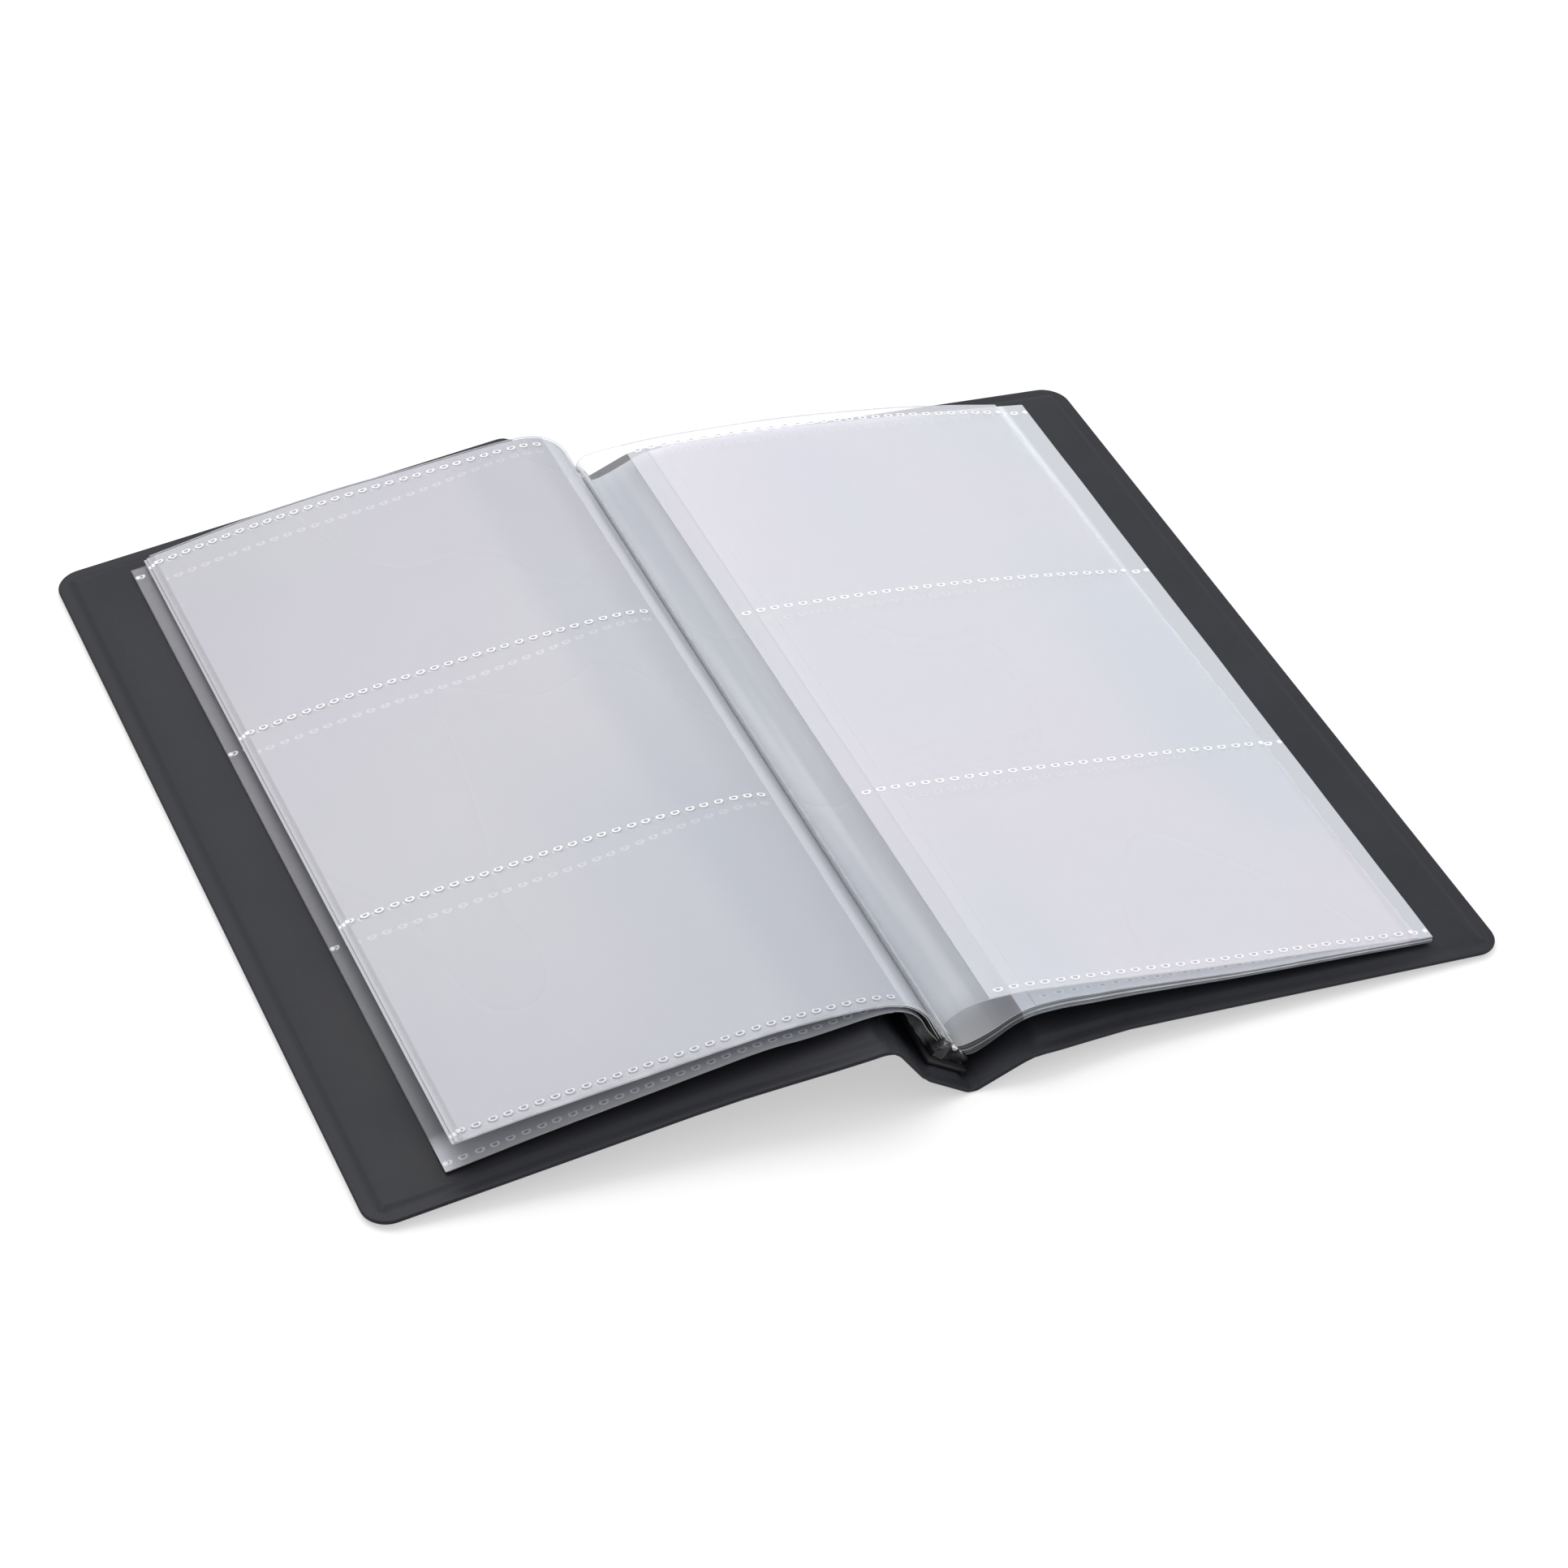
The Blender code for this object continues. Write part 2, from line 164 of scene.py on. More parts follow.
class LeafSizes(bpy.types.PropertyGroup):
    height: length_property("Height", "Along the spine", 0.1875)
    width: length_property("Width", "From the weld to the outer edge", 0.104)
    film: length_property("Film thickness", "Of each of a leaf's two films", 0.00011)
    film_step: length_property("Film step", "From the base film to the pocket film", 0.00014)
    crest_pitch: length_property("Crest pitch", "From leaf to leaf near the crest", 0.00055)
    edge_pitch: length_property("Edge pitch", "From leaf to leaf at the outer edge", 0.0003)
    top_pitch: length_property("Upper left pitch", "Between the three upper left leaves", 0.00034)
    row_margin: length_property("Row margin", "From a leaf's front edge to its first weld row", 0.0019)
    row_pitch: length_property("Row pitch", "From weld row to weld row", 0.0609)
    mark_pitch: length_property("Mark pitch", "From one embossed ring to the next", 0.00305)
    mark_length: length_property("Mark length", "Of an embossed ring", 0.0017)
    mark_width: length_property("Mark width", "Of an embossed ring", 0.0012)
    wave: length_property("Waviness", "How far a film swells and dips", 0.00022)


class AlbumColours(bpy.types.PropertyGroup):
    skin: colour_property("Outer skin", "Soft dark plastic", (0.013, 0.0133, 0.016))
    lining: colour_property("Lining", "Soft dark plastic", (0.0155, 0.0162, 0.0212))
    strip: colour_property("Binding strip", "Black plastic", (0.022, 0.0225, 0.025))
    weld: colour_property("Weld", "Milky melted film", (0.66, 0.66, 0.63))
    board: colour_property("Board", "Grey cardboard", (0.32, 0.3, 0.27))
    left_film: colour_property("Left films", "Frosted film seen from its back", (0.6, 0.6, 0.645))
    right_film: colour_property("Right films", "Frosted film seen from its pockets", (0.83, 0.83, 0.875))
    floor: colour_property("Floor", "Pale table", (0.45, 0.45, 0.45))


# Lines and curves

def ramp(value, low, high):
    """0 below low, 1 above high and smooth between them."""
    share = min(max((value - low) / (high - low), 0.0), 1.0)
    return share * share * (3 - 2 * share)


def mix(a, b, share):
    return a * (1 - share) + b * share


def joint_spot(name):
    spot = next(joint["pos_m"] for joint in frame["joints"] if joint["name"] == name)
    return Vector((spot[0], spot[2]))


def in_row(point, along=0.0):
    return Vector((point.x, along, point.y))


class CoverLine:
    """The cover's middle line in X-Z: straight runs with rounded corners, measured along the runs."""

    def __init__(self, sizes):
        creases = [joint_spot(name) for name in ("left_outer_crease", "left_inner_crease",
                                                 "right_inner_crease", "right_outer_crease")]
        ends = []
        for crease, side in ((creases[0], LEFT), (creases[-1], RIGHT)):
            half = sizes.thick / 2
            slope = math.asin(crease.y / math.hypot(sizes.panel, half)) - math.atan2(half, sizes.panel)
            ends.append(crease + Vector((side * math.cos(slope), -math.sin(slope))) * sizes.panel)
        moved = [crease + Vector(shift) * MM for crease, shift in zip(creases, CREASE_SHIFTS)]
        self.corners = [ends[0], *moved, ends[1] + Vector(RIGHT_END_SHIFT) * MM]
        self.rounds = [0.0, sizes.crest_round, sizes.floor_round, sizes.floor_round, sizes.crest_round, 0.0]
        self.marks = [0.0]
        for a, b in zip(self.corners, self.corners[1:]):
            self.marks.append(self.marks[-1] + (b - a).length)

    def bow(self, run, along):
        """How far the cover's front edge stands forward of a straight line: most at the spine."""
        away = max(self.marks[1] - run, run - self.marks[4], 0.0)
        reach = (38 if run < self.marks[2] else 24) * MM
        return (0.4 * MM + 1.8 * MM * (1 - ramp(away, 0.0, reach))) * ramp(-along, 40 * MM, 100 * MM)

    def at(self, run):
        """Point and direction at a distance from the left end."""
        for spot in range(1, len(self.corners) - 1):
            reach = self.rounds[spot]
            if abs(run - self.marks[spot]) < reach:
                corner = self.corners[spot]
                before = corner + (self.corners[spot - 1] - corner).normalized() * reach
                after = corner + (self.corners[spot + 1] - corner).normalized() * reach
                share = (run - self.marks[spot] + reach) / (2 * reach)
                point = before * (1 - share) ** 2 + corner * (2 * share * (1 - share)) + after * share ** 2
                way = (corner - before) * (1 - share) + (after - corner) * share
                return point, way.normalized()
        spot = 0
        while spot < len(self.corners) - 2 and run > self.marks[spot + 1]:
            spot += 1
        way = (self.corners[spot + 1] - self.corners[spot]).normalized()
        return self.corners[spot] + way * (run - self.marks[spot]), way

    def spot(self, run, along, height):
        """Place of a spot of the cover, up from its middle line."""
        point, way = self.at(run)
        return in_row(point + Vector((-way.y, way.x)) * height, along - self.bow(run, along))


class FilmCurve:
    """A smooth curve through a few points in X-Z, measured as a share of its length."""

    STEPS = 24

    def __init__(self, points):
        ends = [points[0] * 2 - points[1], *points, points[-1] * 2 - points[-2]]
        self.points = [points[0].copy()]
        for a, b, c, d in zip(ends, ends[1:], ends[2:], ends[3:]):
            for step in range(1, self.STEPS + 1):
                self.points.append(self.between(a, b, c, d, step / self.STEPS))
        self.marks = [0.0]
        for a, b in zip(self.points, self.points[1:]):
            self.marks.append(self.marks[-1] + (b - a).length)

    @staticmethod
    def between(a, b, c, d, share):
        """A curve from b to c whose speed follows the distances between the points."""
        gaps = [max((q - p).length, 1e-6) ** 0.5 for p, q in ((a, b), (b, c), (c, d))]
        t0, t1 = 0.0, gaps[0]
        t2, t3 = gaps[0] + gaps[1], sum(gaps)
        t = mix(t1, t2, share)
        ab = a * ((t1 - t) / (t1 - t0)) + b * ((t - t0) / (t1 - t0))
        bc = b * ((t2 - t) / (t2 - t1)) + c * ((t - t1) / (t2 - t1))
        cd = c * ((t3 - t) / (t3 - t2)) + d * ((t - t2) / (t3 - t2))
        abc = ab * ((t2 - t) / (t2 - t0)) + bc * ((t - t0) / (t2 - t0))
        bcd = bc * ((t3 - t) / (t3 - t1)) + cd * ((t - t1) / (t3 - t1))
        return abc * ((t2 - t) / (t2 - t1)) + bcd * ((t - t1) / (t2 - t1))

    def at(self, share):
        """Point and direction at a share of the length."""
        run = min(max(share, 0.0), 1.0) * self.marks[-1]
        high = min(bisect_right(self.marks, run), len(self.marks) - 1)
        low = high - 1
        part = (run - self.marks[low]) / (self.marks[high] - self.marks[low])
        way = self.points[high] - self.points[low]
        return self.points[low].lerp(self.points[high], part), way.normalized()


# Pieces

def finish_piece(name, shape, looks, angle=35.0):
    """Makes a mesh object of a bmesh, with smooth faces and sharp edges where it turns hard."""
    mesh = bpy.data.meshes.new(name)
    shape.to_mesh(mesh)
    shape.free()
    for look in looks:
        mesh.materials.append(look)
    mesh.polygons.foreach_set("use_smooth", [True] * len(mesh.polygons))
    mesh.set_sharp_from_angle(angle=math.radians(angle))
    piece = bpy.data.objects.new(name, mesh)
    bpy.context.scene.collection.objects.link(piece)
    return piece


def place_rigid(piece, node, body):
    """Lets a piece ride on one body, in place of a CAD node."""
    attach(piece, body)
    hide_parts(node)


def place_bent(piece, nodes, start, end):
    """Bakes a piece's place into its mesh, in place of CAD nodes; the two spots are not used."""
    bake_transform(piece)
    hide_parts(*nodes)


def box_shape(low, high, bevel=0.0, segments=1):
    """A bmesh box between two corners."""
    size = Vector(high) - Vector(low)
    middle = (Vector(high) + Vector(low)) / 2
    shape = bmesh.new()
    bmesh.ops.create_cube(shape, size=1.0, matrix=Matrix.Translation(middle) @ Matrix.Diagonal((*size, 1.0)))
    if bevel:
        bmesh.ops.bevel(shape, geom=shape.edges[:], offset=bevel, segments=segments, profile=0.5,
                        affect="EDGES", material=-1)
    return shape


def slice_across(shape, axis, places):
    """Cuts a shape at each place along an axis, and keeps both sides."""
    way = Vector([float(index == axis) for index in range(3)])
    for place in places:
        bmesh.ops.bisect_plane(shape, geom=shape.verts[:] + shape.edges[:] + shape.faces[:], dist=1e-8,
                               plane_co=way * place, plane_no=way)


def spread(low, high, step):
    """Evenly spaced places between two others, both left out."""
    count = max(int(round((high - low) / step)), 1)
    return [mix(low, high, index / count) for index in range(1, count)]


# Cover

def edge_distance(run, along, line, sizes):
    """How far a spot on the flat cover is from its outline, round at the four corners."""
    out = min(run, line.marks[-1] - run)
    side = sizes.height / 2 - abs(along)
    if out < sizes.corner and side < sizes.corner:
        return max(sizes.corner - math.hypot(sizes.corner - out, sizes.corner - side), 0.0)
    return max(min(out, side), 0.0)


def half_thickness(run, along, line, sizes):
    """Half the cover's thickness: thick over the boards, thin in soft zones, creases and the rim."""
    soft = sizes.soft_thick / 2
    crease = min(abs(run - mark) for mark in line.marks[1:-1])
    on_panel = run < line.marks[1] or run > line.marks[4]
    boarded = on_panel or line.marks[2] < run < line.marks[3]
    full = mix(soft, sizes.thick / 2, ramp(crease, 0.9 * MM, 2.9 * MM)) if boarded else soft
    full -= 0.1 * MM * (1 - ramp(crease, 0.25 * MM, 0.9 * MM))
    edge = edge_distance(run, along, line, sizes)
    square = min(run, line.marks[-1] - run, sizes.height / 2 - abs(along))
    rim = sizes.rim if on_panel else sizes.rim - 0.7 * MM
    half = mix(min(sizes.rim_thick / 2, full), full, ramp(square, rim, rim + sizes.rim_rise))
    half -= 0.06 * MM * math.exp(-(((edge - rim + 0.35 * MM) / (0.35 * MM)) ** 2))
    bend = 0.42 * MM
    if edge < bend:
        half *= 0.3 + 0.7 * math.sqrt(max(1 - (1 - edge / bend) ** 2, 0.0))
    return half


def cover_sheet(name, low, high, inner, line, sizes, look):
    """One stretch of the outer skin or of the lining, from low to high along the cover's line."""
    half = sizes.height / 2
    shape = box_shape((low, -half, -0.5), (high, half, 0.5))
    for end in (low, high):
        if end in (line.marks[0], line.marks[-1]):
            corners = [edge for edge in shape.edges if all(abs(vert.co.x - end) < 1e-6 for vert in edge.verts)
                       and abs(edge.verts[0].co.y - edge.verts[1].co.y) < 1e-6]
            bmesh.ops.bevel(shape, geom=corners, offset=sizes.corner, segments=12, profile=0.5,
                            affect="EDGES", material=-1)
    faces = [face for face in shape.faces if abs(face.normal.z) > 0.9]
    for ring in RIM_RINGS:
        bmesh.ops.inset_region(shape, faces=faces, thickness=ring * MM, depth=0.0, use_even_offset=True,
                               use_boundary=True)
    places = spread(low, high, 9 * MM)
    cuts = [-cut for cut in reversed(CREASE_CUTS)] + [0, *CREASE_CUTS]
    for mark in line.marks[1:-1]:
        places += [mark + cut * MM for cut in cuts]
    slice_across(shape, 0, [place for place in places if low + 0.05 * MM < place < high - 0.05 * MM])
    steps = [sum(RIM_RINGS[:count + 1]) * MM for count in range(len(RIM_RINGS))]
    slice_across(shape, 1, spread(-half, half, 25 * MM) + [half - step for step in steps]
                 + [step - half for step in steps])
    for vert in shape.verts:
        run, along, level = vert.co
        thick = half_thickness(run, along, line, sizes)
        over_board = min(thick - 0.06 * MM, 0.455 * MM) if thick > 0.5 * MM else 0.0
        hollow = max(0.012 * MM, thick - sizes.sheet, over_board)
        outer = level > 0 if inner else level < 0
        offset = (thick if outer else hollow) * (1 if inner else -1)
        vert.co = line.spot(run, along, offset)
    return finish_piece(name, shape, [look])


class ALBUM_OT_cover(bpy.types.Operator):
    """Outer skin and lining, each in four stretches that bend at the creases"""
    bl_idname = "album.cover"
    bl_label = "Cover"

    def execute(self, context):
        sizes = context.scene.album_cover
        colours = context.scene.album_colours
        line = CoverLine(sizes)
        marks = line.marks
        breaks = [marks[0], mix(marks[1], marks[2], 0.5), mix(marks[2], marks[3], 0.5),
                  mix(marks[3], marks[4], 0.5), marks[5]]
        stretches = (("left_cover", "left_hinge", 1, "left_panel"), ("left_hinge", "spine", 2, "left_gutter"),
                     ("spine", "right_hinge", 3, "right_gutter"),
                     ("right_hinge", "right_cover", 4, "right_panel"))
        looks = {"lining": soft_plastic("charcoal_lining", colours.lining, 0.5),
                 "skin": soft_plastic("charcoal_skin", colours.skin, 0.44)}
        for (first, second, crease, label), low, high in zip(stretches, breaks, breaks[1:]):
            reach = 3.2 * MM if crease in (1, 4) else 2.6 * MM
            for layer in ("skin", "lining"):
                piece = cover_sheet("%s_%s" % (label, layer), low, high, layer == "lining", line, sizes,
                                    looks[layer])
                place_bent(piece, ("%s_%s" % (first, layer), "%s_%s" % (second, layer)),
                           in_row(line.at(marks[crease] - reach)[0]),
                           in_row(line.at(marks[crease] + reach)[0]))
        return {"FINISHED"}


def board_piece(name, low, high, half_height, line, look):
    """A flat board with rounded edges, between two distances along the cover's line."""
    shape = box_shape((low, -half_height, -0.45 * MM), (high, half_height, 0.45 * MM), 0.16 * MM, 2)
    slice_across(shape, 0, spread(low, high, 6 * MM))
    slice_across(shape, 1, spread(-half_height, half_height, 6 * MM))
    for vert in shape.verts:
        run, along, level = vert.co
        vert.co = line.spot(run, along, level)
    return finish_piece(name, shape, [look])


class ALBUM_OT_boards(bpy.types.Operator):
    """Grey cardboard in the two panels and in the spine"""
    bl_idname = "album.boards"
    bl_label = "Boards"

    def execute(self, context):
        line = CoverLine(context.scene.album_cover)
        look = cardboard("grey_board", context.scene.album_colours.board)
        marks = line.marks
        for name, body, low, high, half_height in (
                ("left_cover_board", "left_cover", 2.9 * MM, marks[1] - 3.3 * MM, 97.1 * MM),
                ("spine_board", "spine", marks[2] + 2.7 * MM, marks[3] - 2.6 * MM, 97.7 * MM),
                ("right_cover_board", "right_cover", marks[4] + 3.2 * MM, marks[5] - 2.9 * MM, 97.1 * MM)):
            board = board_piece("grey_" + name, low, high, half_height, line, look)
            place_rigid(board, name, body)
        return {"FINISHED"}


# Binding

def on_spine(line, across, height, along):
    """A spot given from the spine's left crease, across the spine and up from its middle."""
    left, right = line.corners[2:4]
    way = (right - left).normalized()
    bow = 0.6 * line.bow(line.marks[2], along)
    return in_row(left + way * across + Vector((-way.y, way.x)) * height, along - bow)


def binding_strip(line, look):
    """A bevelled strip with a slightly uneven outline, on the spine's floor."""
    low, high = STRIP_LOW, STRIP_HIGH
    shape = box_shape(low, high, 0.22 * MM, 3)
    slice_across(shape, 1, spread(low[1], high[1], 1.6 * MM))
    slice_across(shape, 0, spread(low[0], high[0], 1.4 * MM))
    for vert in shape.verts:
        across, along, height = vert.co
        edge = min(across - low[0], high[0] - across) < 0.5 * MM
        shift = noise.noise(Vector((across * 260, along * 190, 3.0))) * (0.22 if edge else 0.05) * MM
        sag = noise.noise(Vector((across * 300, along * 240, 9.0))) * 0.07 * MM if height > 1.5 * MM else 0.0
        vert.co = on_spine(line, across + shift, height + sag, along)
    return finish_piece("black_binding_strip", shape, [look])


def weld_block(line, look):
    """The leaves' melted roots: an irregular milky block with a scalloped skirt."""
    low, high = WELD_LOW, WELD_HIGH
    shape = box_shape(low, high)
    for axis, step in ((1, 0.8 * MM), (0, 0.75 * MM), (2, 0.8 * MM)):
        slice_across(shape, axis, spread(low[axis], high[axis], step))
    for vert in shape.verts:
        across, along, height = vert.co
        share = (across - low[0]) / (high[0] - low[0])
        rise = (height - low[2]) / (high[2] - low[2])
        roof = mix(3.3, 5.25, ramp(share, 0.0, 0.42)) - 1.5 * ramp(share, 0.5, 1.0)
        height = mix(low[2], roof * MM, rise)
        scallop = 0.3 * abs(math.sin(along * 950 + 2.2 * noise.noise(Vector((0.3, along * 120, 0.0)))))
        narrow = (0.35 + scallop) * (1 - 0.6 * rise) * MM
        across += narrow * (1 if share < 0.5 else -1) * abs(2 * share - 1) ** 3
        spot = Vector((across * 520, along * 520, height * 520))
        lump = Vector([noise.noise(spot + Vector((0.0, 0.0, 31.7 * part))) for part in range(3)]) * 0.16 * MM
        end = ramp(abs(along), high[1] - 1.4 * MM, high[1])
        ragged = 0.5 + 0.9 * noise.noise(Vector((across * 700, height * 700, 5)))
        along -= math.copysign(1, along) * end * ragged * MM
        vert.co = on_spine(line, across, height, along) + lump
    return finish_piece("milky_root_weld", shape, [look], 60.0)


class ALBUM_OT_binding(bpy.types.Operator):
    """Black strip on the spine and the milky weld of the leaves' roots"""
    bl_idname = "album.binding"
    bl_label = "Binding"

    def execute(self, context):
        colours = context.scene.album_colours
        line = CoverLine(context.scene.album_cover)
        strip = binding_strip(line, soft_plastic("black_strip", colours.strip, 0.34))
        place_rigid(strip, "binding_strip", "spine")
        block = weld_block(line, milky_weld("milky_weld", colours.weld))
        place_rigid(block, "leaf_weld_block", "spine")
        return {"FINISHED"}


# Leaves

class Leaf:
    """A leaf's surface, as a function of the distance from its weld and from its front edge."""

    def __init__(self, side, number, sizes):
        self.side = side
        self.sizes = sizes
        self.name = "leaf_%s_%d" % ("left" if side == LEFT else "right", number)
        self.top = side == RIGHT and number == 1
        low = number == 4 if side == LEFT else number > 1
        guide = {LEFT: 4, RIGHT: 6}[side] if low else 1
        base = self.weld(guide)
        self.shift = self.weld(number) - base
        self.curves = [FilmCurve([base] + [Vector(point) * MM for point in line])
                       for line in LEAF_LINES[side, low]]
        self.step = guide - number
        self.start = LEAF_STARTS[side, low] * MM
        self.start += 0.35 * MM * noise.noise(Vector((number * 1.7, side * 3.1, 0.5)))
        self.reach = 1.0 - 0.0065 * (3 - number) if side == LEFT and number < 3 else 1.0

    def weld(self, number):
        """Where a leaf of this side leaves the weld."""
        half_film = 0.1 * MM
        shift = Vector(ROOT_SHIFT) * MM
        if self.side == LEFT:
            low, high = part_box("leaf_left_1_root")
            across = high.x - half_film - LEFT_ROOT_PITCH * (number - 1)
            return Vector((across, low.z - half_film * 2)) + shift
        low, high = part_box("leaf_right_%d_root" % number)
        return Vector((low.x, low.z - half_film)) + shift

    def pitch(self, run):
        """The distance from leaf to leaf."""
        if self.side == LEFT:
            return self.sizes.top_pitch
        return mix(self.sizes.crest_pitch, self.sizes.edge_pitch, ramp(run, 20 * MM, 70 * MM))

    def spot(self, run, down, lift=0.0):
        """Place of a spot run from the weld and down from the front edge, lifted to the album's inside."""
        share = run / self.sizes.width * self.reach
        front, front_way = self.curves[0].at(share)
        back, back_way = self.curves[1].at(share)
        turn = down / self.sizes.height
        point = front.lerp(back, turn)
        way = front_way.lerp(back_way, turn).normalized()
        inside = Vector((-way.y, way.x)) * self.side
        offset = inside * (self.step * self.pitch(run))
        point = point + self.shift.lerp(offset, ramp(run, 0.0, 9 * MM))
        swell = noise.noise(Vector((run * 38, down * 26, self.side * 4.0)))
        swell += 0.5 * noise.noise(Vector((run * 75, down * 60, self.side * 7.0)))
        point = point + inside * (lift + self.sizes.wave * swell * ramp(run, 16 * MM, 45 * MM))
        return in_row(point, self.start + down)


def film(name, leaf, reach, lift, looks, grid, joins):
    """A thin closed sheet between two distances from the weld, with a map of both distances.

    The ends in joins meet another sheet, so they don't show a cut edge.
    """
    low, high = reach
    shape = bmesh.new()
    bmesh.ops.create_grid(shape, x_segments=grid[0], y_segments=grid[1], size=0.5)
    chart = shape.loops.layers.uv.new("film")
    for face in shape.faces:
        for loop in face.loops:
            run = mix(low, high, loop.vert.co.x + 0.5)
            loop[chart].uv = (run, (loop.vert.co.y + 0.5) * leaf.sizes.height)
    for vert in shape.verts:
        run = mix(low, high, vert.co.x + 0.5)
        vert.co = leaf.spot(run, (vert.co.y + 0.5) * leaf.sizes.height, lift)
    if leaf.side == LEFT:
        bmesh.ops.reverse_faces(shape, faces=shape.faces)
    shape.normal_update()
    piece = finish_piece(name, shape, looks)
    wall = piece.modifiers.new("film_wall", "SOLIDIFY")
    wall.thickness = leaf.sizes.film
    wall.offset = 0.0
    wall.use_rim = True
    wall.material_offset_rim = 1
    ready = piece.evaluated_get(bpy.context.evaluated_depsgraph_get())
    mesh = bpy.data.meshes.new_from_object(ready)
    piece.modifiers.clear()
    piece.data = mesh
    mesh.name = name
    chart = mesh.uv_layers["film"].uv
    for face in mesh.polygons:
        if face.material_index == 1:
            for end in joins:
                if all(abs(chart[loop].vector.x - end) < 1e-6 for loop in face.loop_indices):
                    face.material_index = 0
    mesh.set_sharp_from_angle(angle=math.radians(40))
    return piece


def add_leaf(leaf, looks):
    """Root film, base film over the crest and pocket film of one leaf.

    The top right leaf also turns by itself, so its crest and its pocket mouths are films of their own.
    """
    sizes = leaf.sizes
    root_body = "leaf_right_2_root" if leaf.top else leaf.name + "_root"
    mouth = POCKET_START[leaf.side]

    def add(part, node, reach, grid, bodies, bend, joins):
        pocket = node == "pocket"
        lift = leaf.side * sizes.film_step if pocket else 0.0
        piece = film("%s_%s_film" % (leaf.name, part), leaf, reach, lift, looks, grid, joins)
        start, end = [leaf.spot(run, sizes.height / 2) for run in bend]
        place_bent(piece, ("%s_%s" % (leaf.name, node),), start, end)

    add("root", "root", (0.0, ROOT_END), (12, 24), ("spine", root_body),
        TOP_WELD_BEND if leaf.top else WELD_BEND, (0.0, ROOT_END))
    if leaf.top:
        first = pocket_first = TURN_START
        crest = ((root_body, "leaf_right_2"), TOP_CREST_BEND)
        add("crest", "root", (ROOT_END, first), (14, 24), *crest, (ROOT_END, first))
        add("mouth", "pocket", (mouth, first), (8, 40), *crest, (first,))
        turn = (("leaf_right_2", "leaf_right_1"), TOP_TURN_BEND)
    else:
        first, pocket_first = ROOT_END, mouth
        turn = ((root_body, leaf.name), CREST_BEND[leaf.side])
    add("base", "base", (first, sizes.width), (72, 40), *turn, (first,))
    add("pocket", "pocket", (pocket_first, sizes.width - 0.2 * MM), (68, 40), *turn,
        (first,) if leaf.top else ())


class ALBUM_OT_left_leaves(bpy.types.Operator):
    """Four leaves on the left, lowest first"""
    bl_idname = "album.left_leaves"
    bl_label = "Left leaves"

    def execute(self, context):
        sizes = context.scene.album_leaves
        colour = context.scene.album_colours.left_film
        # The pale cut edges are a painted highlight where the edges catch the light.
        edge = cut_edge("left_film_edge", (0.86, 0.87, 0.89))
        low_edge = cut_edge("left_film_lowest_edge", (0.5, 0.49, 0.45))
        # Near the weld the left films are painted darker, as painted shade towards the gutter: fully within
        # 8.5 mm, gone at 15.4 mm.
        shade = (8.5 * MM, 15.4 * MM, 0.66)
        clear = frosted_film("left_film_clear", colour, (0.09, 0.09), sizes, LEFT, shade)
        solid = frosted_film("left_film_stacked", colour, None, sizes, LEFT, shade,
                             (102.3 * MM, 102.6 * MM, 0.66), below=True)
        low = frosted_film("left_film_lowest", colour, (0.21, 0.115), sizes, LEFT, shade, front=0.6)
        for number in (4, 3, 2, 1):
            look = {1: clear, 4: low}.get(number, solid)
            add_leaf(Leaf(LEFT, number, sizes), [look, low_edge if number == 4 else edge])
        return {"FINISHED"}


class ALBUM_OT_right_leaves(bpy.types.Operator):
    """Six leaves on the right, lowest first"""
    bl_idname = "album.right_leaves"
    bl_label = "Right leaves"

    def execute(self, context):
        sizes = context.scene.album_leaves
        colour = context.scene.album_colours.right_film
        # Cut edges alternate from leaf to leaf: a painted highlight on leaves 1, 2 and 4, painted shade on 3,
        # 5 and 6.
        edge = cut_edge("right_film_edge", (0.88, 0.89, 0.91))
        painted_shade_edge = cut_edge("right_film_shaded_edge", (0.2, 0.21, 0.23))
        # Near the weld the right films are painted darker, partly as clearer film and partly as painted
        # shade: to 3 mm on the top leaf, to about 13 mm on the others.
        clear = frosted_film("right_film_clear", colour, (0.1, 0.225), sizes, RIGHT,
                             (0.5 * MM, 3 * MM, 0.8), root=0.3)
        solid = frosted_film("right_film_stacked", tinted(colour, 0.76, 0.79, 0.8), None, sizes, RIGHT,
                             (13.1 * MM, 13.4 * MM, 0.58), (98.0 * MM, 99.5 * MM, 0.71))
        for number in (6, 5, 4, 3, 2, 1):
            look = [clear if number == 1 else solid, edge if number in (1, 2, 4) else painted_shade_edge]
            add_leaf(Leaf(RIGHT, number, sizes), look)
        return {"FINISHED"}


# Materials

def tinted(colour, *factors):
    """A colour times one factor, or times one for each of its parts, with an alpha of 1."""
    return [part * factor for part, factor in zip(colour[:3], factors * 3)] + [1.0]


